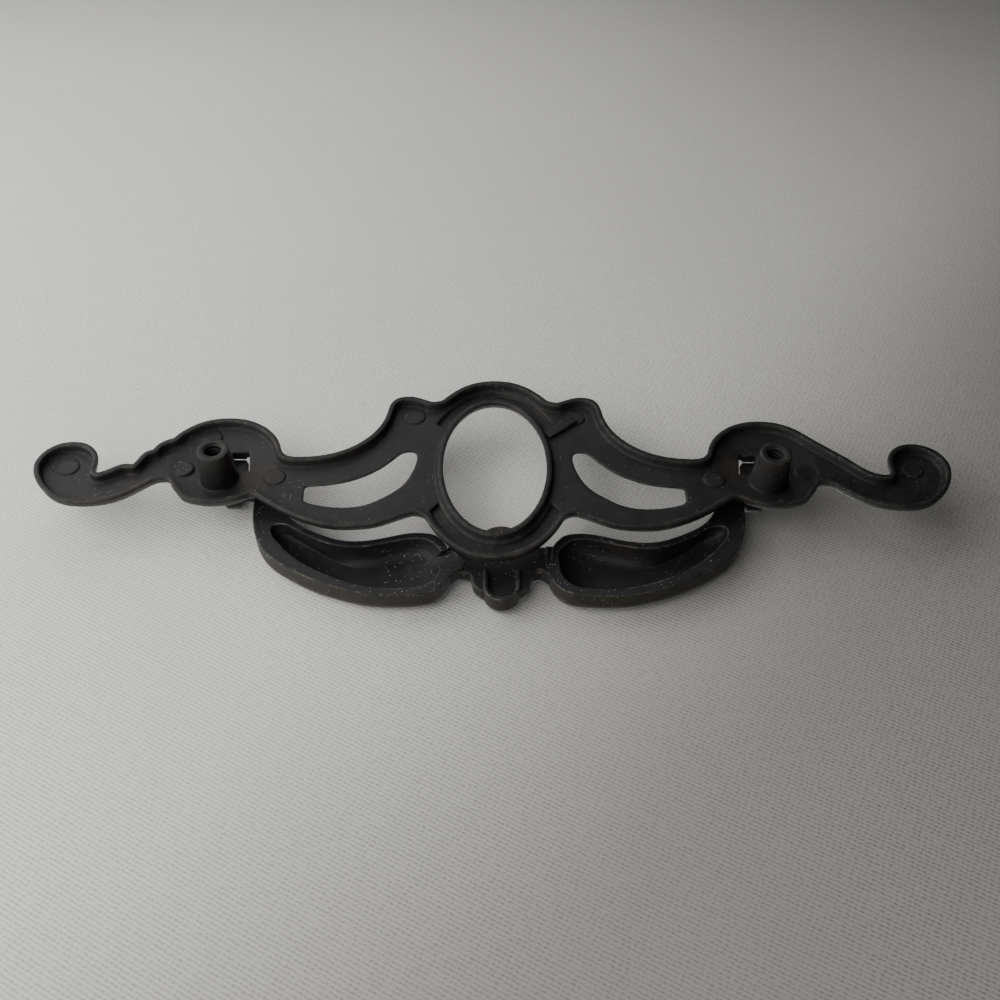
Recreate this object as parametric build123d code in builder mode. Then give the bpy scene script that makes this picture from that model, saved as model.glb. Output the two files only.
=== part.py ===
from build123d import *
import math
import os

os.makedirs("parts", exist_ok=True)

# Drawer pull: a pierced backplate with two tapped posts, and a drop bail that swings on two pins.
# X runs along the plate, Z is up and the front faces -Y. The rim of the plate lies in the plane
# Y = 0 on the drawer face, and the posts reach into the drawer along +Y. Depths below are counted
# forward from the rim, so a depth of 2 is at Y = -2.

# Posts
post_spacing = 114.3
post_reach = 5.9
post_tip_r = 3.2
post_base_r = 4.0
tap_r = 1.725
tap_length = 8.0
tap_lead = 0.35

# Plate casting
plate_depth = 2.75
side_depth = 0.5
crown_in = 2.1
rim_width = 1.0
hollow_depth = 1.7
draft = 0.45

# Oval ring in the middle
ring_half_w = 17.3
ring_half_h = 26.4
ring_centre_z = 3.1
ring_depth = 3.6
opening_half_w = 10.85
opening_half_h = 19.35
lip_width = 0.85
lip_drop = 0.3
channel_depth = 2.5

# Round discs that carry the posts
disc_x = 57.3
disc_z = 3.65
disc_r = 12.65
disc_depth = 3.9
dish_r = 11.0
dish_edge = 1.7
dish_depth = 2.6

# Scrolls at the ends; the one on the +X side sits a little lower
scroll_x = 88.9
scroll_r = 6.4
scroll_z = {1: 2.1, -1: 2.9}

# Pads left by the ejector pins
pad_r = 2.2
pad_height = 0.2

# Hinge
pivot_depth = 7.5
pivot_z = 0.0
pin_r = 1.25
pin_clearance = 0.05
knuckle_r = 2.8
knuckle_x = disc_x - 2.6
knuckle_width = 4.4
knuckle_top = 9.6

# Bail
bail_shift = -1.0
bail_back = 4.8
bail_side = 3.2
bail_depth = 5.5
bail_crown_in = 2.2
bowl_depth = 4.2
hub_r = 2.75
hub_out = knuckle_x - 3.7
hub_in = hub_out - 5.0
pin_end = knuckle_x + 0.6
ornament_shift = -0.4
petal_back = 0.8
tongue_r = 3.55
tongue_low = -29.8
tray_rim = 0.75
crest_r = 4.6


def at(stop, side, inset):
    """Position and heading of one stop of an outline, moved in from the edge by inset."""
    x, z, heading = stop
    a = math.radians(heading)
    x += inset * math.sin(a)
    z -= inset * math.cos(a)
    return (side * x, z), (side * math.cos(a), math.sin(a))


def flow(stops, side=1, inset=0.0):
    """Curves that join the stops and are tangent to each stop's heading."""
    curves = []
    for first, second in zip(stops, stops[1:]):
        p, t = at(first, side, inset)
        q, u = at(second, side, inset)
        curves.append(Spline(p, q, tangents=(t, u), mode=Mode.PRIVATE))
    return curves


def sheet(curves, depth):
    """Face inside a closed outline, at a depth in front of the rim."""
    return Plane.XZ.offset(depth) * Face(Wire(curves))


def shrunk(stops, scale, x, z):
    """The same stops drawn smaller about the point x, z."""
    return [(x + (a - x) * scale, z + (b - z) * scale, heading) for a, b, heading in stops]


def crown_steps(inset, depth, count):
    """Steps of a quarter ellipse, each as distance in from the edge and depth gained."""
    angles = [0.5 * math.pi * k / count for k in range(count + 1)]
    return [(inset * (1 - math.cos(a)), depth * math.sin(a)) for a in angles]


def turned(x, z, profile, mode=Mode.ADD):
    """Solid turned about an axis through x, z from steps of radius and depth."""
    with BuildSketch(Plane.XY.offset(z)) as section:
        with BuildLine():
            ends = [(x, -profile[-1][1]), (x, -profile[0][1])]
            Polyline([(x + r, -depth) for r, depth in profile] + ends, close=True)
        make_face()
    revolve(section.sketch, axis=Axis((x, 0, z), (0, 1, 0)), mode=mode, clean=False)


def dish_floor(r):
    """Depth of the ball-shaped back of a disc at the radius r."""
    sag = dish_depth - dish_edge
    ball_r = (dish_r ** 2 + sag ** 2) / (2 * sag)
    return dish_depth - ball_r + math.sqrt(ball_r ** 2 - r ** 2)


def on_circle(x, z, r, angle):
    """A stop on a circle that is gone round clockwise."""
    a = math.radians(angle)
    return (x + r * math.cos(a), z + r * math.sin(a), angle - 90)


def on_ring(z):
    """A stop on the outer edge of the oval ring at the height z."""
    c = (z - ring_centre_z) / ring_half_h
    s = math.sqrt(1 - c * c)
    return (ring_half_w * s, z, math.degrees(math.atan2(-ring_half_h * s, ring_half_w * c)))


def plate_stops(side):
    """Half of the plate's edge, clockwise from the top of the ring to its bottom."""
    sz = scroll_z[side]
    top = [(0, ring_centre_z + ring_half_h, 0), on_ring(24.6), on_ring(23.2)]
    ear = [(14.3, 22.35, 24), (19.3, 23.95, -2), (22.55, 22.2, -60), (23.4, 19.0, -83)]
    wing = [(26.6, 11.0, -53), (34.0, 5.5, -21), (disc_x - 15.7, 4.3, 0)]
    disc = [on_circle(disc_x, disc_z, disc_r, a) for a in (166, 128, 90, 42)]
    if side > 0:
        # Three scallops, each between two sharp notches
        arm = [(disc_x + x, z, heading) for x, z, heading in
               ((10.9, 9.95, -60), (11.25, 9.75, -22), (13.1, 8.6, -42), (14.4, 6.45, -78),
                (14.9, 6.15, -24), (16.1, 5.3, -50), (17.55, 2.05, -62),
                (18.1, 1.85, 12), (20.3, 1.65, -27), (23.9, -0.6, -24))]
    else:
        arm = [(disc_x + 16.7, 5.0, -45), (disc_x + 23.7, -0.1, -6)]
    neck = [(scroll_x - scroll_r - 0.05, sz - 1.6, 88)]
    scroll = [on_circle(scroll_x, sz, scroll_r, a) for a in (180, 135, 90, 45, -10)]
    under = [(92.1, -5.0, -130), (83.5, -9.25, -180), (disc_x + 17.7, -7.05, -213), (disc_x + 12.9, -3.0, -221),
             (disc_x + 10.7, -2.15, -180), (disc_x + 8.0, -5.0, -134)]
    low_disc = [on_circle(disc_x, disc_z, disc_r, a) for a in (-65, -95, -125)]
    low_wing = [(disc_x - 9.1, -6.85, -143), (38.0, -13.35, -157), (30.0, -15.3, -180), (22.5, -14.2, -203),
                (16.8, -11.55, -203)]
    bottom = [on_ring(-12.6), on_ring(-19.0), (0, ring_centre_z - ring_half_h, -180)]
    return top + ear + wing + disc + arm + neck + scroll + under + low_disc + low_wing + bottom


def plate_edge(inset):
    """The plate's outline, moved in by inset."""
    return [curve for side in (1, -1) for curve in flow(plate_stops(side), side, inset)]


# Crescent window between ring and disc, clockwise from its upper tip
window_stops = [
    (17.9, 7.9, 0), (20.1, 7.0, -50), (24.3, 2.4, -40), (31.4, -1.5, -18), (37.9, -2.6, -6),
    (39.1, -3.7, -90), (39.0, -6.1, -93), (37.6, -7.6, -160), (31.0, -8.75, -180),
    (24.3, -6.9, -215), (18.7, -1.7, -240), (16.5, 4.9, -263), (17.9, 7.9, -360),
]

# Half of the bail, clockwise from the inner end of the leaf, and the edge of its bowl
leaf_stops = [
    (10.3, -18.0, 90), (12.2, -14.0, 50), (16.4, -12.7, 0), (22.5, -13.9, -16), (29.3, -15.05, 0),
    (36.0, -13.3, 25), (hub_in - 4.5, -10.0, 42), (hub_in - 1.2, -5.0, 70), (hub_in, 0.0, 90),
    (hub_out, 0.0, -90), (hub_out - 0.5, -7.0, -95), (hub_out - 3.1, -16.0, -119), (41.0, -22.4, -148),
    (33.0, -26.4, -161), (21.5, -28.8, -180), (15.0, -28.4, -189), (11.6, -26.8, -226),
    (9.5, -22.6, -262), (10.3, -18.0, -270),
]
bowl_stops = [
    (11.6, -18.8, 90), (13.2, -15.4, 45), (16.4, -14.1, 0), (22.5, -15.3, -16), (29.3, -16.5, 0),
    (36.0, -14.9, 24), (41.0, -12.1, 36), (hub_in - 1.2, -10.3, 0), (hub_in + 0.3, -11.8, -95),
    (hub_in - 2.0, -15.8, -128),
    (37.0, -22.0, -148), (29.0, -25.7, -163), (21.0, -27.2, -180), (15.6, -26.7, -193),
    (12.5, -24.3, -240), (11.6, -18.8, -270),
]
bowl_x, bowl_z = 25.0, -20.5

# Half of the ornament between the leaves: bridge, notch and petal, clockwise from the top
petal_stops = [
    (0, -15.4, 0), (9.9, -15.5, -5), (11.0, -17.3, -88), (9.6, -22.2, -170), (7.6, -22.3, -180),
    (6.2, -22.9, -118), (5.75, -24.6, -95), (4.6, -26.5, -133), (2.5, -27.2, -180), (0, -27.2, -180),
]

# Square core hole beside each post, pads as side, x, z and floor depth, and the runner's mark
core_hole = [(disc_x - 6.0, 2.3), (disc_x - 5.1, 8.1), (disc_x - 1.5, 8.1), (disc_x - 1.5, 2.3)]
pads = [(side, x, z, floor) for side in (1, -1) for x, z, floor in
        ((17.5, 18.9, hollow_depth), (disc_x - 11.7, -0.1, hollow_depth),
         (disc_x + 7.9, 2.6, dish_floor(8.0)))]
pads += [(1, disc_x + 3.6, 12.2, dish_floor(9.3)), (1, scroll_x, 2.4, hollow_depth),
         (-1, scroll_x - 0.9, 3.1, hollow_depth)]
runner = [(10.5, 13.6), (16.4, 18.6), (18.0, 17.2), (11.8, 11.8)]

crown = [(0, 0)] + [(inset, side_depth + depth) for inset, depth in
                    crown_steps(crown_in, plate_depth - side_depth, 3)]
crown_sheets = [sheet(plate_edge(inset), depth) for inset, depth in crown]
hollow_sheets = [sheet(plate_edge(inset), depth) for inset, depth in
                 ((rim_width - draft * 0.1, -0.2), (rim_width + draft, hollow_depth))]
window_steps = [(0, 1.0), (0, hollow_depth + 0.2), (0.3, plate_depth - 0.4), (1.0, plate_depth + 0.1)]
window_sheets = [[sheet(flow(window_stops, side, -grow), depth) for grow, depth in window_steps]
                 for side in (1, -1)]

with BuildPart() as knuckle:
    # Lug seen from its end: round about the pin, with a straight back running up the disc
    foot = (-disc_depth + 0.7, knuckle_top)
    reach = math.dist(foot, (-pivot_depth, pivot_z))
    lean = math.atan2(foot[1] - pivot_z, foot[0] + pivot_depth) + math.acos(knuckle_r / reach)
    with BuildSketch(Plane.YZ.offset(-knuckle_width / 2)):
        with BuildLine():
            start = (-pivot_depth, pivot_z - knuckle_r)
            mid = (-pivot_depth - knuckle_r, pivot_z)
            end = (-pivot_depth + knuckle_r * math.cos(lean), pivot_z + knuckle_r * math.sin(lean))
            ThreePointArc(start, mid, end)
            Polyline(end, foot, (foot[0], pivot_z - knuckle_r), start)
        make_face()
    extrude(amount=knuckle_width)
    front = edges().filter_by(lambda e: e.center().Y < foot[0] - 0.3 and abs(e.center().X) > 0.1)
    chamfer(front, length=0.8)

with BuildPart() as hollow:
    # Space inside the rim, less the lip that stands round the opening
    loft(sections=hollow_sheets, ruled=True, clean=False)
    for grow, depth in ((lip_width - 0.1, -0.3), (lip_width + 0.8, hollow_depth + 0.1)):
        with BuildSketch(Plane.XZ.offset(depth)):
            with Locations((0, ring_centre_z)):
                Ellipse(opening_half_w + grow, opening_half_h + grow)
    loft(mode=Mode.SUBTRACT, clean=False)

with BuildPart() as channel:
    # Deeper channels of the ring, above and below the opening
    for inset, depth in ((1.75, 1.2), (2.3, channel_depth)):
        with BuildSketch(Plane.XZ.offset(depth)):
            with Locations((0, ring_centre_z)):
                Ellipse(ring_half_w - inset, ring_half_h - inset)
    loft()
    for grow, depth in ((lip_width + 0.85, 1.1), (lip_width + 1.6, channel_depth + 0.1)):
        with BuildSketch(Plane.XZ.offset(depth)):
            with Locations((0, ring_centre_z)):
                Ellipse(opening_half_w + grow, opening_half_h + grow)
    loft(mode=Mode.SUBTRACT)
    with BuildSketch(Plane.XZ):
        with BuildLine():
            Polyline((-30, 40), (-30, 25.6), (-10, 15.3), (10, 15.3), (30, 25.6), (30, 40), close=True)
        make_face()
        with BuildLine():
            Polyline((-30, -40), (-30, -33), (-11, -6.5), (11, -6.5), (30, -33), (30, -40), close=True)
        make_face()
    extrude(amount=6, mode=Mode.INTERSECT)

with BuildPart() as backplate:
    loft(sections=crown_sheets, ruled=True, clean=False)

    # Raised bead of the oval ring
    for inset, depth in ((1.4, 2.0), (1.7, 2.9), (2.4, 3.4), (3.5, ring_depth)):
        with BuildSketch(Plane.XZ.offset(depth)):
            with Locations((0, ring_centre_z)):
                Ellipse(ring_half_w - inset, ring_half_h - inset)
    loft(ruled=True, clean=False)

    # Domes over the discs
    for side in (1, -1):
        turned(side * disc_x, disc_z, [(disc_r - inset, depth) for inset, depth in
                                       ((1.9, 2.2), (2.3, 3.1), (3.6, 3.65), (5.8, disc_depth))])
        with Locations((side * knuckle_x, 0, 0)):
            add(knuckle.part, clean=False)

    add(hollow.part, mode=Mode.SUBTRACT, clean=False)
    add(channel.part, mode=Mode.SUBTRACT, clean=False)

    # Dished backs of the discs
    for side in (1, -1):
        with BuildSketch(Plane.XY.offset(disc_z)):
            with BuildLine():
                x = side * disc_x
                Polyline((x + dish_r, -dish_edge), (x + dish_r + 0.5, -1.2), (x, -1.2), (x, -dish_depth))
                ThreePointArc((x, -dish_depth), (x + dish_r / 2, -dish_floor(dish_r / 2)),
                              (x + dish_r, -dish_edge))
            make_face()
        revolve(axis=Axis((x, 0, disc_z), (0, 1, 0)), mode=Mode.SUBTRACT, clean=False)

    # Oval opening: straight at the back, flared toward the front, with its lip a little low
    with BuildSketch(Plane.XZ):
        with Locations((0, ring_centre_z)):
            Ellipse(opening_half_w + lip_width + 0.4, opening_half_h + lip_width + 0.4)
    extrude(amount=lip_drop, mode=Mode.SUBTRACT, clean=False)
    with BuildSketch(Plane.XZ):
        with Locations((0, ring_centre_z)):
            Ellipse(opening_half_w, opening_half_h)
    extrude(amount=1.0, mode=Mode.SUBTRACT, clean=False)
    for grow, depth in ((0, 1.0), (0.35, 2.0), (1.3, 3.0), (2.9, ring_depth + 0.15)):
        with BuildSketch(Plane.XZ.offset(depth)):
            with Locations((0, ring_centre_z)):
                Ellipse(opening_half_w + grow, opening_half_h + grow)
    loft(ruled=True, mode=Mode.SUBTRACT, clean=False)

    # Crescent windows, rounded at the front
    for sheets in window_sheets:
        loft(sections=sheets, ruled=True, mode=Mode.SUBTRACT, clean=False)

    # Core holes beside the posts
    for side in (1, -1):
        with BuildSketch(Plane.XZ.offset(1.0)):
            with BuildLine():
                Polyline([(side * x, z) for x, z in core_hole], close=True)
            make_face()
        extrude(amount=disc_depth - 0.35, mode=Mode.SUBTRACT, clean=False)

    # Pads, the mark of a runner, and the tapped posts
    for side, x, z, floor in pads:
        with BuildSketch(Plane.XZ.offset(floor - pad_height)):
            with Locations((side * x, z)):
                Circle(pad_r)
        extrude(amount=pad_height + 0.3, clean=False)
    with BuildSketch(Plane.XZ.offset(hollow_depth - 0.8)):
        with BuildLine():
            Polyline([(-x, z) for x, z in runner], close=True)
        make_face()
    extrude(amount=1.0, clean=False)
    for side in (1, -1):
        for r, depth in ((post_tip_r, -post_reach), (post_base_r, dish_depth + 0.3)):
            with BuildSketch(Plane.XZ.offset(depth)):
                with Locations((side * post_spacing / 2, 0)):
                    Circle(r)
        loft(clean=False)
        # Tapped blind hole with a small lead-in at its mouth
        with BuildSketch(Plane.XZ.offset(tap_length - post_reach)):
            with Locations((side * post_spacing / 2, 0)):
                Circle(tap_r)
        extrude(amount=-tap_length - 1, mode=Mode.SUBTRACT, clean=False)
        for r, depth in ((tap_r + tap_lead + 0.2, 0.2), (tap_r, -tap_lead)):
            with BuildSketch(Plane.XZ.offset(depth - post_reach)):
                with Locations((side * post_spacing / 2, 0)):
                    Circle(r)
        loft(mode=Mode.SUBTRACT, clean=False)
        # Hole for the bail's pin
        with BuildSketch(Plane.YZ.offset(side * knuckle_x - knuckle_width)):
            with Locations((-pivot_depth, pivot_z)):
                Circle(pin_r + pin_clearance)
        extrude(amount=2 * knuckle_width, mode=Mode.SUBTRACT, clean=False)

backplate.part.label = "backplate"
export_step(backplate.part, "parts/backplate.step")

leaf_crown = [(0, 0)] + [(inset, bail_side + depth) for inset, depth in
                         crown_steps(bail_crown_in, bail_depth - bail_side, 4)]
leaf_sheets = [sheet(flow(leaf_stops, 1, inset), bail_back + depth) for inset, depth in leaf_crown]
bowl_steps = [(1.0, -0.2), (0.98, 1.4), (0.93, 2.6), (0.84, 3.5), (0.68, 4.1), (0.5, bowl_depth + 0.15)]
bowl_sheets = [sheet(flow(shrunk(bowl_stops, k, bowl_x, bowl_z)), bail_back + depth)
               for k, depth in bowl_steps]
petal_steps = [(0, petal_back), (0, 3.0), (0.35, 4.0), (0.9, 4.6)]
petal_sheets = [sheet(flow(petal_stops, 1, inset) + flow(petal_stops, -1, inset), bail_back + depth)
                for inset, depth in petal_steps]

with BuildPart() as leaf:
    # Leaf and its arm, crowned at the front, with a bowl in its back
    loft(sections=leaf_sheets, ruled=True, clean=False)
    # Foot where the leaf's edge sweeps into the bridge
    with BuildSketch(Plane.XZ.offset(bail_back)):
        with BuildLine():
            Spline((12.4, -27.3), (7.2, -21.9), tangents=((-0.75, 0.66), (-1, 0.25)))
            Polyline((7.2, -21.9), (9.6, -20.8), (14.0, -25.0), (12.4, -27.3))
        make_face()
    extrude(amount=bail_side, clean=False)
    loft(sections=bowl_sheets, ruled=True, mode=Mode.SUBTRACT, clean=False)
    # Round end of the arm and its pin
    for r, end in ((hub_r, hub_out), (pin_r, pin_end)):
        with BuildSketch(Plane.YZ.offset(hub_in)):
            with Locations((-pivot_depth, pivot_z)):
                Circle(r)
        extrude(amount=end - hub_in, clean=False)

with BuildPart() as ornament:
    loft(sections=petal_sheets, ruled=True, clean=False)
    for inset, depth in ((0, 0.2), (0, 3.4), (0.5, 4.6), (1.6, 5.2)):
        with BuildSketch(Plane.XZ.offset(bail_back + depth)):
            with Locations((0, tongue_low / 2 - 8)):
                SlotCenterToCenter(-tongue_low - 16 - 2 * tongue_r, 2 * (tongue_r - inset), rotation=90)
    loft(ruled=True, clean=False)
    for inset, depth in ((0, 0.2), (0, 2.4), (0.8, 3.8), (2.2, 4.5)):
        with BuildSketch(Plane.XZ.offset(bail_back + depth)):
            with Locations((0, crest_r - 19.8)):
                Circle(crest_r - inset)
    loft(ruled=True, clean=False)

with BuildPart() as tray:
    with BuildSketch(Plane.XZ.offset(bail_back - 1)):
        with Locations((bail_shift + ornament_shift, -18.3)):
            Rectangle(17.6, 6.8)
        with Locations((bail_shift + ornament_shift, (tongue_low + tray_rim - 15) / 2)):
            reach = -15 - tongue_low - tray_rim
            SlotCenterToCenter(reach - 2 * (tongue_r - tray_rim), 2 * (tongue_r - tray_rim), rotation=90)
    extrude(amount=1 + petal_back + 0.4)
    # Ramp from the tray down into the bowl
    for x, half_w, half_h, depth in ((8.6, 3.1, 2.7, -0.2), (9.2, 2.9, 2.6, 1.2), (15.0, 2.5, 2.4, 3.3)):
        with BuildSketch(Plane.XZ.offset(bail_back + depth)):
            with Locations((x, -19.6)):
                Ellipse(half_w, half_h)
    loft(ruled=True)

with BuildPart() as bail:
    with Locations((bail_shift, 0, 0)):
        add(leaf.part, clean=False)
        add(leaf.part.mirror(Plane.YZ), clean=False)
    # Petals and bridge between the leaves, the tongue over them and the round crest above
    with Locations((bail_shift + ornament_shift, 0, 0)):
        add(ornament.part, clean=False)
    # Shallow tray in the back of the bridge and tongue, open into the bowl on the +X side
    add(tray.part, mode=Mode.SUBTRACT, clean=False)

bail.part.label = "bail"
export_step(bail.part, "parts/bail.step")
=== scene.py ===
import math

import bmesh
import bpy
from mathutils import Matrix, Vector


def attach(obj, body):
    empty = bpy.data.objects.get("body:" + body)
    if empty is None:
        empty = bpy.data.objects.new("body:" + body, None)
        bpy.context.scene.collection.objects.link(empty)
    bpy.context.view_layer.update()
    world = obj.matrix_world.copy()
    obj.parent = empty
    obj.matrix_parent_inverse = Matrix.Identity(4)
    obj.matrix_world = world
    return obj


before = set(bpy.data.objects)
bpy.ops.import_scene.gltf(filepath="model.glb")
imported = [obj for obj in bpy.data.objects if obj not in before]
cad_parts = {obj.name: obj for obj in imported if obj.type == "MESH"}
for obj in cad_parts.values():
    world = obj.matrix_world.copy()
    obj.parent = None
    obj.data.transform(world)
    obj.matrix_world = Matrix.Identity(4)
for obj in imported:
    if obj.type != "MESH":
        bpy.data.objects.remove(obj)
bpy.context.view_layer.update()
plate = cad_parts["backplate"]
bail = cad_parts["bail"]

# Sizes shared with the casting, in metres: +X along the plate, +Y out of its back, +Z up
POST_X = 0.05715
POST_REACH = 0.0059
TAP_RADIUS = 0.001725
THREAD_PITCH = 0.000794
FLOOR_Y = -0.0106

# Thread in each post: turns, steps in one turn, and how far its mouth lies inside the post's tip
THREAD_TURNS = 8.5
THREAD_STEPS = 40
THREAD_START = 0.0005
# One ridge: its rise from the hole's wall in millimetres (inwards is negative), and where along
# the post each corner lies, as a share of the pitch
RIDGE = [(0.03, -0.46), (-0.21, 0.0), (0.03, 0.46)]
RIDGE_SPREAD = 0.98

# Places on the castings, each as x, z and radius
PAD_MARKS = [(side * x, z, 0.0023) for side in (1, -1) for x, z in
             ((0.0175, 0.0189), (0.0456, -0.0001), (0.0652, 0.0026))]
PAD_MARKS += [(0.0609, 0.0122, 0.0023), (0.0889, 0.0024, 0.0023), (-0.088, 0.0031, 0.0023)]
SCROLL_SCAR = (0.0896, 0.0032, 0.0031)
SCROLL_PAD = (0.0889, 0.0024)
SCRATCHED = [(0.0155, -0.0185, 0.0042)]

# Colours that the metals share
# Painted shade for corners and creases
CORNER_SHADE = (0.006, 0.006, 0.006, 1)
# Darker tone for given spots
DARK_SPOT = (0.007, 0.007, 0.008, 1)
# Painted shade for the grooves round the pads
GROOVE_SHADE = (0.007, 0.007, 0.007, 1)
SCRATCH_GREY = (0.10, 0.10, 0.10, 1)
RUBBED_METAL = (0.21, 0.19, 0.150, 1)
DUST_WHITE = (0.62, 0.62, 0.60, 1)
MOTTLE_DARK = (0.66, 0.66, 0.67, 1)
MOTTLE_LIGHT = (1.34, 1.33, 1.32, 1)

# Colours of the cloth
COTTON_GAPS = (0.60, 0.59, 0.57, 1)
COTTON_THREADS = (0.88, 0.875, 0.855, 1)
COTTON_FOLDS = (0.76, 0.75, 0.73, 1)
# Painted shade for the cloth away from the window
COTTON_SHADE = (0.48, 0.475, 0.465, 1)

# Camera: the point it looks at, its angle over the plane of the rim (45.7 degrees), a small turn to
# the side and a small roll, both in radians, and its distance from that point
CAMERA_TARGET = (-0.00101592, 0.0, -0.008003)
CAMERA_LIFT = 0.79801907
CAMERA_SWING = 0.01474129
CAMERA_ROLL = -0.00483296
CAMERA_AWAY = 0.2146754

# Panels of light: name, place, the point it faces, side in metres, power in watts and tint
WINDOW_TINT = (1.0, 0.99, 0.97)
PANELS = [
    ("window low", (0.30, 0.12, -0.03), (0.10, 0, 0), 0.30, 0.79, WINDOW_TINT),
    ("window back low", (0.28, 0.14, 0.15), (0.10, 0, 0), 0.32, 0.32, WINDOW_TINT),
    ("window back high", (0.10, 0.22, 0.20), (0.10, 0, 0.02), 0.30, 0.32, WINDOW_TINT),
    ("above near", (0.15, 0.22, -0.13), (0.12, 0, 0), 0.30, 0.31, WINDOW_TINT),
    ("viewer side", (0.12, 0.20, -0.22), (0.12, 0, 0), 0.30, 0.18, WINDOW_TINT),
    ("viewer low", (0.15, 0.10, -0.33), (0.05, 0, 0), 0.30, 0.10, WINDOW_TINT),
    ("front fill", (0.0, -1.0, 0.35), (0, 0, 0), 0.8, 13.0, (1.0, 1.0, 1.0)),
]


# Nodes and materials

def new_material(name):
    material = bpy.data.materials.new(name)
    material.use_nodes = True
    material.node_tree.nodes.clear()
    return material, material.node_tree


def feed(tree, socket, value):
    if isinstance(value, bpy.types.NodeSocket):
        tree.links.new(value, socket)
    else:
        socket.default_value = value


def node(tree, kind, inputs=None, **settings):
    made = tree.nodes.new(kind)
    for key, value in settings.items():
        setattr(made, key, value)
    for key, value in (inputs or {}).items():
        feed(tree, made.inputs[key], value)
    return made


def maths(tree, operation, a, b=0.0, clamp=False):
    return node(tree, "ShaderNodeMath", {0: a, 1: b}, operation=operation, use_clamp=clamp).outputs[0]


def plus(tree, a, b, clamp=False):
    return maths(tree, "ADD", a, b, clamp)


def minus(tree, a, b, clamp=False):
    return maths(tree, "SUBTRACT", a, b, clamp)


def times(tree, a, b, clamp=False):
    return maths(tree, "MULTIPLY", a, b, clamp)


def largest(tree, masks):
    total = masks[0]
    for mask in masks[1:]:
        total = maths(tree, "MAXIMUM", total, mask)
    return total


def blend_colours(tree, share, a, b, way="MIX"):
    made = node(tree, "ShaderNodeMix", data_type="RGBA", blend_type=way)
    sockets = {s.identifier: s for s in made.inputs}
    for key, value in (("Factor_Float", share), ("A_Color", a), ("B_Color", b)):
        feed(tree, sockets[key], value)
    return next(s for s in made.outputs if s.identifier == "Result_Color")


def band(tree, value, low, high):
    """0 below low and 1 above high, or the other way round where low is the larger."""
    return node(tree, "ShaderNodeMapRange", {"Value": value, "From Min": low, "From Max": high},
                clamp=True, interpolation_type="SMOOTHSTEP").outputs["Result"]


def noise(tree, point, scale, detail=4.0, roughness=0.6, distortion=0.0):
    return node(tree, "ShaderNodeTexNoise", {
        "Vector": point, "Scale": scale, "Detail": detail, "Roughness": roughness,
        "Distortion": distortion}).outputs["Fac"]


def waves(tree, point, direction, scale, distortion, detail_scale):
    return node(tree, "ShaderNodeTexWave", {
        "Vector": point, "Scale": scale, "Distortion": distortion, "Detail": 2.0,
        "Detail Scale": detail_scale}, bands_direction=direction).outputs["Fac"]


def scattered_cells(tree, point, scale):
    """Cells strewn at random: the distance from the middle of each, and a number of its own."""
    cells = node(tree, "ShaderNodeTexVoronoi", {"Vector": point, "Scale": scale, "Randomness": 1.0})
    own = node(tree, "ShaderNodeSeparateColor", {0: cells.outputs["Color"]}).outputs[0]
    return cells.outputs["Distance"], own


def openness(tree, distance):
    """1 in the open, and less where the piece's own walls stand within the distance."""
    return node(tree, "ShaderNodeAmbientOcclusion", {"Distance": distance}, samples=2,
                only_local=True).outputs["AO"]


def turned_about_y(tree, point, degrees):
    return node(tree, "ShaderNodeMapping", {
        "Vector": point, "Rotation": (0, math.radians(degrees), 0)}).outputs[0]


def distance_from_line(tree, point, x, z, squash=1):
    """Distance from the line through x, z that runs along the posts, with z squashed first."""
    flat = node(tree, "ShaderNodeVectorMath", {0: point, 1: (1, 0, squash)},
                operation="MULTIPLY").outputs[0]
    return node(tree, "ShaderNodeVectorMath", {0: flat, 1: (x, 0, z)},
                operation="DISTANCE").outputs["Value"]


def new_group(name, inputs, outputs):
    group = bpy.data.node_groups.new(name, "ShaderNodeTree")
    for label, kind, value in inputs:
        socket = group.interface.new_socket(name=label, in_out="INPUT", socket_type=kind)
        socket.default_value = value
    for label, kind in outputs:
        group.interface.new_socket(name=label, in_out="OUTPUT", socket_type=kind)
    return group, group.nodes.new("NodeGroupInput"), group.nodes.new("NodeGroupOutput")


def placed(tree, group, inputs):
    made = node(tree, "ShaderNodeGroup", node_tree=group)
    for key, value in inputs.items():
        feed(tree, made.inputs[key], value)
    return made


FLOAT, VECTOR = "NodeSocketFloat", "NodeSocketVector"


def edge_wear_and_shade_group():
    """Outer edges where the black is rubbed, a corner mask for painted shade, hollows where the sides'
    painted light stops, and a soft normal.
    """
    group, start, end = new_group("rubbed edges and painted shade", [
        ("Point", VECTOR, (0, 0, 0)), ("Width", FLOAT, 0.0004), ("Amount", FLOAT, 0.5)],
        [("Mask", FLOAT), ("Corner Shade", FLOAT), ("Hollow", FLOAT), ("Soft Normal", VECTOR)])
    point = start.outputs["Point"]
    bevel = node(group, "ShaderNodeBevel", {"Radius": start.outputs["Width"]}, samples=4)
    geometry = node(group, "ShaderNodeNewGeometry")
    turn = node(group, "ShaderNodeVectorMath", {0: bevel.outputs[0], 1: geometry.outputs["Normal"]},
                operation="DOT_PRODUCT").outputs["Value"]
    sharp = band(group, turn, 0.99, 0.86)
    close_by = openness(group, 0.0012)
    round_about = openness(group, 0.010)
    open_edge = times(group, sharp, band(group, close_by, 0.62, 0.92))
    patches = noise(group, point, 300.0, 5.0, 0.65)
    fine = noise(group, point, 1500.0, 3.0)
    broken = times(group, band(group, patches, 0.36, 0.62), band(group, fine, 0.3, 0.6))
    shown = times(group, times(group, open_edge, broken), start.outputs["Amount"], clamp=True)
    for label, value in (("Mask", shown), ("Corner Shade", band(group, close_by, 0.75, 0.25)),
                         ("Hollow", band(group, round_about, 0.93, 0.72)),
                         ("Soft Normal", bevel.outputs[0])):
        group.links.new(value, end.inputs[label])
    return group


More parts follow.
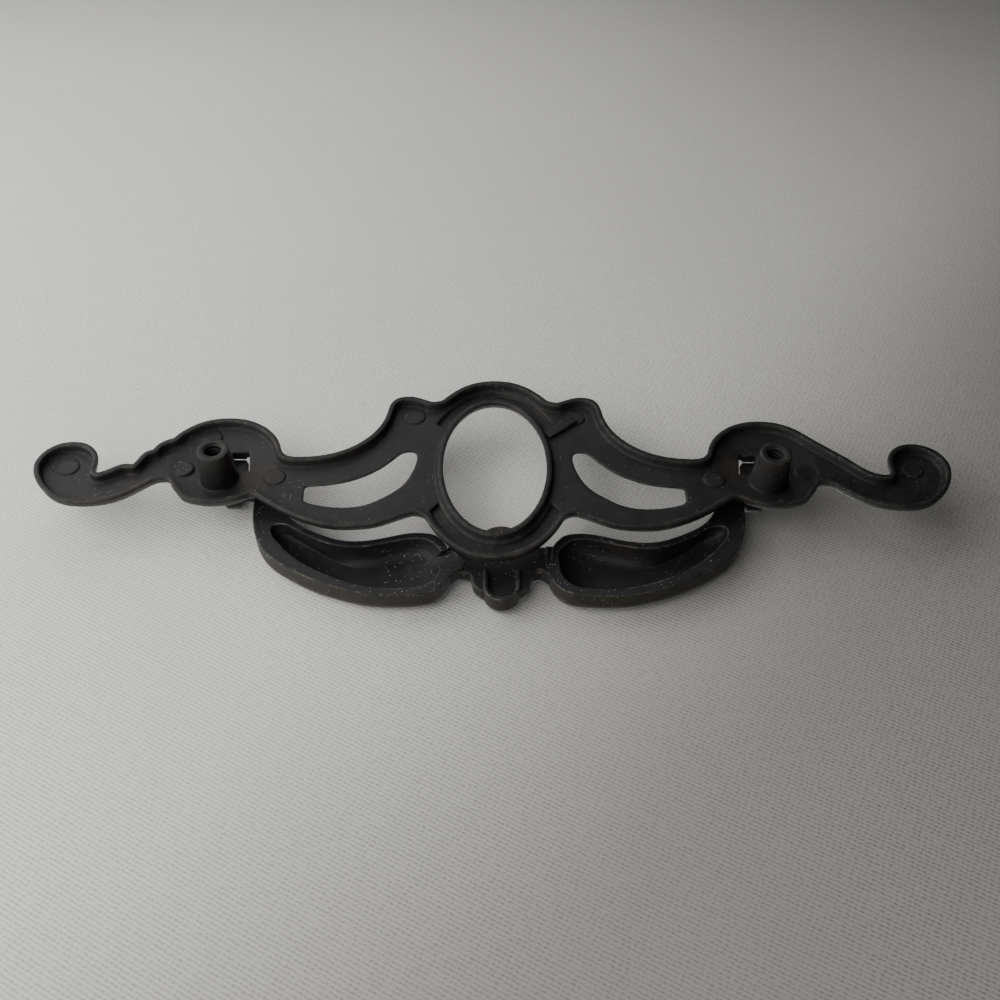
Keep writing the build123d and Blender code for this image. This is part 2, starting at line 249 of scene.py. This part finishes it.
def cast_skin_group():
    """Skin of a die casting: fine grain, flow marks and pits, as a height and a shade."""
    group, start, end = new_group("cast skin", [
        ("Point", VECTOR, (0, 0, 0)), ("Grain", FLOAT, 1.0), ("Pits", FLOAT, 0.4)],
        [("Height", FLOAT), ("Shade", FLOAT)])
    point = start.outputs["Point"]
    grain = noise(group, point, 2400.0, 3.0)
    flow = noise(group, point, 330.0, 4.0, 0.55, 0.5)
    lumps = noise(group, point, 95.0, 3.0, 0.5, 0.8)
    broad = noise(group, point, 38.0, 3.0)
    middle, own = scattered_cells(group, point, 520.0)
    pit = times(group, band(group, middle, 0.26, 0.08), band(group, own, 0.72, 0.78))
    pit = times(group, pit, start.outputs["Pits"])
    height = plus(group, times(group, grain, start.outputs["Grain"]), times(group, flow, 2.0))
    height = plus(group, height, times(group, lumps, 3.0))
    height = minus(group, height, pit)
    shade = plus(group, times(group, flow, 0.55), times(group, broad, 0.45))
    for label, value in (("Height", height), ("Shade", shade)):
        group.links.new(value, end.inputs[label])
    return group


def dust_group():
    """White specks of dust, in clusters, more of them where Spread is high."""
    group, start, end = new_group("dust specks", [
        ("Point", VECTOR, (0, 0, 0)), ("Amount", FLOAT, 0.5), ("Spread", FLOAT, 0.0)], [("Mask", FLOAT)])
    point = start.outputs["Point"]
    clusters = noise(group, point, 130.0, 4.0, 0.7)
    near = plus(group, clusters, start.outputs["Spread"])
    masks = []
    for scale, size, rare in ((1150.0, 0.19, 0.93), (2300.0, 0.25, 0.80)):
        middle, own = scattered_cells(group, point, scale)
        few = minus(group, own, times(group, near, 0.55))
        speck = band(group, middle, size, size * 0.45)
        masks.append(times(group, speck, band(group, few, rare - 0.34, rare - 0.30)))
    specks = times(group, largest(group, masks), band(group, near, 0.44, 0.60))
    faint = band(group, noise(group, point, 900.0, 1.0), 0.25, 0.7)
    specks = times(group, specks, plus(group, 0.35, faint))
    group.links.new(times(group, specks, start.outputs["Amount"], clamp=True), end.inputs["Mask"])
    return group


rubbed_edges_and_shade = edge_wear_and_shade_group()
cast_skin = cast_skin_group()
dust_specks = dust_group()


def pad_marks(tree, point):
    """Ragged grooves that the pins left round the pads, 1 where the groove is deep; the metal both
    presses them in and darkens them with painted shade.
    """
    wobble = times(tree, minus(tree, noise(tree, point, 520.0, 3.0), 0.5), 0.0009)
    uneven = band(tree, noise(tree, point, 210.0, 2.0), 0.38, 0.62)

    def ragged_distance(x, z):
        return plus(tree, distance_from_line(tree, point, x, z), wobble)

    rings = []
    for x, z, radius in PAD_MARKS:
        away = ragged_distance(x, z)
        rings.append(times(tree, band(tree, away, radius - 0.0003, radius),
                           band(tree, away, radius + 0.00055, radius + 0.0001)))
    grooves = times(tree, largest(tree, rings), uneven)
    x, z, radius = SCROLL_SCAR
    inside_scar = band(tree, ragged_distance(x, z), radius, radius - 0.0004)
    off_the_pad = band(tree, ragged_distance(*SCROLL_PAD), 0.0021, 0.0025)
    return largest(tree, [grooves, times(tree, inside_scar, off_the_pad)])


def spots_near(tree, point, places):
    """1 near any of the places, each as x, z and radius, with soft noisy borders."""
    ragged = times(tree, noise(tree, point, 160.0, 4.0), 0.9)
    spots = []
    for x, z, radius in places:
        away = maths(tree, "DIVIDE", distance_from_line(tree, point, x, z), radius)
        spots.append(band(tree, plus(tree, away, ragged), 1.45, 0.75))
    return largest(tree, spots)


def fine_scratches(tree, point):
    """Short fine scratches in the bowl of the leaf on the +X side."""
    turned = turned_about_y(tree, point, -24)
    lines = waves(tree, turned, "Z", 620.0, 3.0, 0.6)
    broken = band(tree, noise(tree, turned, 330.0, 2.0), 0.50, 0.60)
    return times(tree, times(tree, band(tree, lines, 0.80, 0.97), broken),
                 spots_near(tree, point, SCRATCHED))


def calm_ring(tree, point):
    """0.25 inside the lip round the oval opening, whose black has hardly worn, and 1 beyond it."""
    away = distance_from_line(tree, point, 0, 0.0021, squash=0.66)
    return plus(tree, 0.25, times(tree, band(tree, away, 0.0110, 0.0125), 0.75))


def blackened_metal(name, floor_tone, side_tone_painted_lighter, brown, brown_places, dust, dust_places, edge,
                    softness, marks=None, scratches=None, calm=None, dark_spots=None):
    """Blackened die casting: dark floors, browner sides that are also painted lighter as painted light,
    worn grey edges, painted shade in corners and grooves, darker spots and specks of dust.
    """
    material, tree = new_material(name)
    point = node(tree, "ShaderNodeTexCoord").outputs["Object"]
    skin = placed(tree, cast_skin, {"Point": point, "Grain": 0.8, "Pits": 0.9})
    worn = placed(tree, rubbed_edges_and_shade, {"Point": point, "Width": softness, "Amount": edge})
    more_dust = times(tree, spots_near(tree, point, dust_places), 0.22)
    specks = placed(tree, dust_specks, {"Point": point, "Amount": dust, "Spread": more_dust})
    rubbed = worn.outputs["Mask"]
    if calm:
        rubbed = times(tree, rubbed, calm(tree, point))

    # How far the surface faces the way the posts point: marks stay off the front by it
    own_normal = node(tree, "ShaderNodeTexCoord").outputs["Normal"]
    facing = node(tree, "ShaderNodeSeparateXYZ", {0: own_normal}).outputs[1]
    on_back = band(tree, facing, 0.1, 0.4)
    # Faces turned sideways, outside the hollows, take the side tone: its browner hue is the finish, its
    # lighter value is painted light on the sides
    sides_painted_lighter = times(tree, band(tree, maths(tree, "ABSOLUTE", facing), 0.8, 0.25),
                     minus(tree, 1.0, worn.outputs["Hollow"]))

    tone = blend_colours(tree, sides_painted_lighter, floor_tone, side_tone_painted_lighter)
    stain = band(tree, noise(tree, point, 75.0, 5.0), 0.50, 0.70)
    stain = largest(tree, [times(tree, stain, 0.35),
                           times(tree, spots_near(tree, point, brown_places), 0.8)])
    tone = blend_colours(tree, stain, tone, brown)
    mottle = blend_colours(tree, band(tree, skin.outputs["Shade"], 0.32, 0.68), MOTTLE_DARK,
                           MOTTLE_LIGHT)
    tone = blend_colours(tree, 1.0, tone, mottle, "MULTIPLY")
    # Painted shade: corners and creases, where the piece's own walls stand close, are darkened
    tone = blend_colours(tree, times(tree, worn.outputs["Corner Shade"], 0.5), tone, CORNER_SHADE)
    # Darker at the given spots; on the bail they lie where the bowl of the +X leaf meets the bridge
    if dark_spots:
        tone = blend_colours(tree, times(tree, spots_near(tree, point, dark_spots), 0.6), tone, DARK_SPOT)
    height = skin.outputs["Height"]
    if marks:
        # Painted shade: the grooves round the pads are darkened as well as pressed in
        groove = times(tree, marks(tree, point), on_back)
        tone = blend_colours(tree, times(tree, groove, 0.45), tone, GROOVE_SHADE)
        height = minus(tree, height, times(tree, groove, 3.4))
    if scratches:
        line = times(tree, scratches(tree, point), on_back)
        tone = blend_colours(tree, times(tree, line, 0.5), tone, SCRATCH_GREY)
    tone = blend_colours(tree, rubbed, tone, RUBBED_METAL)
    tone = blend_colours(tree, specks.outputs["Mask"], tone, DUST_WHITE)

    rough = plus(tree, 0.44, times(tree, skin.outputs["Shade"], 0.22))
    rough = minus(tree, rough, times(tree, rubbed, 0.14))
    rough = plus(tree, rough, times(tree, specks.outputs["Mask"], 0.4), clamp=True)
    bump = node(tree, "ShaderNodeBump", {"Height": height, "Strength": 0.65, "Distance": 0.00005,
                                         "Normal": worn.outputs["Soft Normal"]})
    shader = node(tree, "ShaderNodeBsdfPrincipled", {"Base Color": tone, "Roughness": rough,
                                                     "Normal": bump.outputs[0]})
    shader.inputs["Metallic"].default_value = 0.0
    shader.inputs["Specular IOR Level"].default_value = 0.34
    node(tree, "ShaderNodeOutputMaterial", {"Surface": shader.outputs[0]})
    return material


plate_metal = blackened_metal(
    "blackened plate", floor_tone=(0.0155, 0.0160, 0.0172, 1), side_tone_painted_lighter=(0.0200, 0.0187, 0.0165, 1),
    brown=(0.030, 0.021, 0.016, 1), brown_places=[(0.0497, 0.0000, 0.006), (-0.0500, 0.0035, 0.005)],
    dust=0.45, dust_places=[(0.0, -0.0150, 0.006)], edge=0.42, softness=0.0009,
    marks=pad_marks, calm=calm_ring, dark_spots=[(-0.0148, 0.0172, 0.0035)])
bail_metal = blackened_metal(
    "blackened bail", floor_tone=(0.0145, 0.0150, 0.0178, 1), side_tone_painted_lighter=(0.0285, 0.0260, 0.0210, 1),
    brown=(0.034, 0.024, 0.018, 1), brown_places=[(-0.001, -0.0118, 0.005)], dust=1.0,
    dust_places=[(0.0165, -0.0205, 0.0065), (0.0190, -0.0240, 0.0040), (-0.002, -0.0215, 0.009)],
    edge=0.85, softness=0.0006, scratches=fine_scratches,
    dark_spots=[(0.0098, -0.0190, 0.0034), (0.0070, -0.0180, 0.0030)])
thread_metal = blackened_metal(
    "blackened thread", floor_tone=(0.0180, 0.0180, 0.0185, 1), side_tone_painted_lighter=(0.0210, 0.0200, 0.0185, 1),
    brown=(0.030, 0.021, 0.016, 1), brown_places=[(0.0, 0.0, 0.001)], dust=0.1,
    dust_places=[(0.0, 0.0, 0.001)], edge=0.3, softness=0.00004)


def coat(piece, material):
    for slot in piece.material_slots:
        slot.material = material


coat(plate, plate_metal)
coat(bail, bail_metal)


# Threads cut in the posts

def tap_thread(name, x):
    """The ridges of the thread, as one helix that lines the hole and fades at both its ends."""
    count = int(THREAD_TURNS * THREAD_STEPS)
    made = bmesh.new()
    rows = []
    for k in range(count + 1):
        angle = 2 * math.pi * k / THREAD_STEPS
        fade = min(1.0, k / THREAD_STEPS, (count - k) / THREAD_STEPS)
        row = []
        for rise, along in RIDGE:
            radius = TAP_RADIUS + 0.001 * (rise if rise > 0 else rise * fade)
            depth = (POST_REACH - THREAD_START
                     - THREAD_PITCH * (k / THREAD_STEPS + along * RIDGE_SPREAD))
            row.append(made.verts.new((x + radius * math.cos(angle), depth, radius * math.sin(angle))))
        rows.append(row)
    for first, second in zip(rows, rows[1:]):
        for i in range(len(RIDGE) - 1):
            made.faces.new((first[i], first[i + 1], second[i + 1], second[i]))
        made.faces.new((first[-1], first[0], second[0], second[-1]))
    made.faces.new(rows[0])
    made.faces.new(reversed(rows[-1]))
    bmesh.ops.recalc_face_normals(made, faces=made.faces)
    mesh = bpy.data.meshes.new(name)
    made.to_mesh(mesh)
    made.free()
    mesh.materials.append(thread_metal)
    piece = bpy.data.objects.new(name, mesh)
    bpy.context.scene.collection.objects.link(piece)
    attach(piece, "plate")


tap_thread("tap_thread_left", POST_X)
tap_thread("tap_thread_right", -POST_X)


# Pale floor behind the pull, which the casting lies on with its front down

def floor_material():
    """Off-white woven cotton with painted shade that darkens it towards -X and -Z, seen only from the
    back's side.
    """
    material, tree = new_material("pale cotton")
    point = node(tree, "ShaderNodeTexCoord").outputs["Object"]
    turned = turned_about_y(tree, point, 28)
    ribs = waves(tree, turned, "Z", 420.0, 1.8, 2.0)
    dashes = waves(tree, turned, "X", 310.0, 5.5, 1.5)
    threads = noise(tree, point, 1100.0, 3.0)
    short = plus(tree, 0.35, times(tree, band(tree, dashes, 0.75, 0.25), 0.65))
    loose = plus(tree, 0.25, times(tree, band(tree, threads, 0.30, 0.65), 0.75))
    gaps = times(tree, times(tree, band(tree, ribs, 0.75, 0.05), short), loose)
    weave = minus(tree, plus(tree, 0.80, times(tree, ribs, 0.20)), gaps, clamp=True)
    folds = noise(tree, point, 16.0, 2.0, 0.4)
    tone = blend_colours(tree, weave, COTTON_GAPS, COTTON_THREADS)
    tone = blend_colours(tree, times(tree, band(tree, folds, 0.35, 0.7), 0.35), tone, COTTON_FOLDS)
    # Painted shade: the cloth darkens towards -X and -Z, in place of the window light's falloff
    apart = node(tree, "ShaderNodeSeparateXYZ", {0: point})
    across = plus(tree, apart.outputs[0], times(tree, apart.outputs[2], 0.9))
    painted_falloff = band(tree, across, 0.012, -0.105)
    tone = blend_colours(tree, painted_falloff, tone,
                         blend_colours(tree, 1.0, tone, COTTON_SHADE, "MULTIPLY"))
    height = plus(tree, times(tree, weave, 0.6), times(tree, folds, 8.0))
    bump = node(tree, "ShaderNodeBump", {"Height": height, "Strength": 0.5, "Distance": 0.00018})
    shader = node(tree, "ShaderNodeBsdfPrincipled", {"Base Color": tone, "Normal": bump.outputs[0]})
    shader.inputs["Roughness"].default_value = 0.95
    shader.inputs["Specular IOR Level"].default_value = 0.1

    # Clear from below, so that the pull's front can be seen, and clear to shadow rays, so that
    # the fill under the floor reaches that front
    clear = node(tree, "ShaderNodeBsdfTransparent")
    from_below = node(tree, "ShaderNodeNewGeometry").outputs["Backfacing"]
    shadow_ray = node(tree, "ShaderNodeLightPath").outputs["Is Shadow Ray"]
    surface = node(tree, "ShaderNodeMixShader", {0: largest(tree, [from_below, shadow_ray]),
                                                 1: shader.outputs[0], 2: clear.outputs[0]})
    node(tree, "ShaderNodeOutputMaterial", {"Surface": surface.outputs[0]})
    return material


def flat_sheet(name, centre, half_x, half_z, material):
    mesh = bpy.data.meshes.new(name)
    x, y, z = centre
    corners = [(x - half_x, y, z - half_z), (x - half_x, y, z + half_z),
               (x + half_x, y, z + half_z), (x + half_x, y, z - half_z)]
    mesh.from_pydata(corners, [], [(0, 1, 2, 3)])
    mesh.materials.append(material)
    made = bpy.data.objects.new(name, mesh)
    bpy.context.scene.collection.objects.link(made)
    return made


flat_sheet("pale_floor", (0, FLOOR_Y, 0), 3.0, 3.0, floor_material())


# Camera at the photograph's viewing angle, looking at the pull's back

def photo_camera():
    """A camera that stands at CAMERA_LIFT over the rim's plane and looks at CAMERA_TARGET."""
    data = bpy.data.cameras.new("camera")
    data.sensor_width = 36.0
    data.lens = 38.37
    data.clip_start = 0.01
    data.clip_end = 20.0
    made = bpy.data.objects.new("camera", data)
    bpy.context.scene.collection.objects.link(made)
    ahead = Vector((-math.sin(CAMERA_SWING) * math.sin(CAMERA_LIFT),
                    -math.sin(CAMERA_LIFT) * math.cos(CAMERA_SWING), math.cos(CAMERA_LIFT)))
    ahead.normalize()
    right = Vector((-math.cos(CAMERA_SWING), math.sin(CAMERA_SWING), 0.0))
    up = right.cross(ahead)
    right_turned = right * math.cos(CAMERA_ROLL) + up * math.sin(CAMERA_ROLL)
    up_turned = up * math.cos(CAMERA_ROLL) - right * math.sin(CAMERA_ROLL)
    turn = Matrix((right_turned, up_turned, -ahead)).transposed().to_4x4()
    made.matrix_world = Matrix.Translation(Vector(CAMERA_TARGET) - CAMERA_AWAY * ahead) @ turn
    return made


bpy.context.scene.camera = photo_camera()


# Light: a broad soft window on the left, made of six soft panels that reach round to the viewer's
# side, and one far panel in front of the pull, which lights its front

def area_light(name, place, aim, size, power, tint):
    data = bpy.data.lights.new(name, "AREA")
    data.shape = "SQUARE"
    data.size = size
    data.energy = power
    data.color = tint
    made = bpy.data.objects.new(name, data)
    made.location = place
    made.rotation_euler = (Vector(aim) - Vector(place)).to_track_quat("-Z", "Y").to_euler()
    bpy.context.scene.collection.objects.link(made)


for panel in PANELS:
    area_light(*panel)


def pale_room():
    """A little grey light from all round, and a pale wall that only the camera sees."""
    world = bpy.data.worlds.new("pale room")
    world.use_nodes = True
    room = world.node_tree
    room_light = room.nodes["Background"]
    room_light.inputs["Color"].default_value = (0.80, 0.80, 0.80, 1)
    room_light.inputs["Strength"].default_value = 0.015
    wall = node(room, "ShaderNodeBackground", {"Color": (0.46, 0.455, 0.45, 1), "Strength": 1.0})
    seen = node(room, "ShaderNodeLightPath").outputs["Is Camera Ray"]
    surface = node(room, "ShaderNodeMixShader", {0: seen, 1: room_light.outputs[0], 2: wall.outputs[0]})
    feed(room, room.nodes["World Output"].inputs["Surface"], surface.outputs[0])
    return world


bpy.context.scene.world = pale_room()
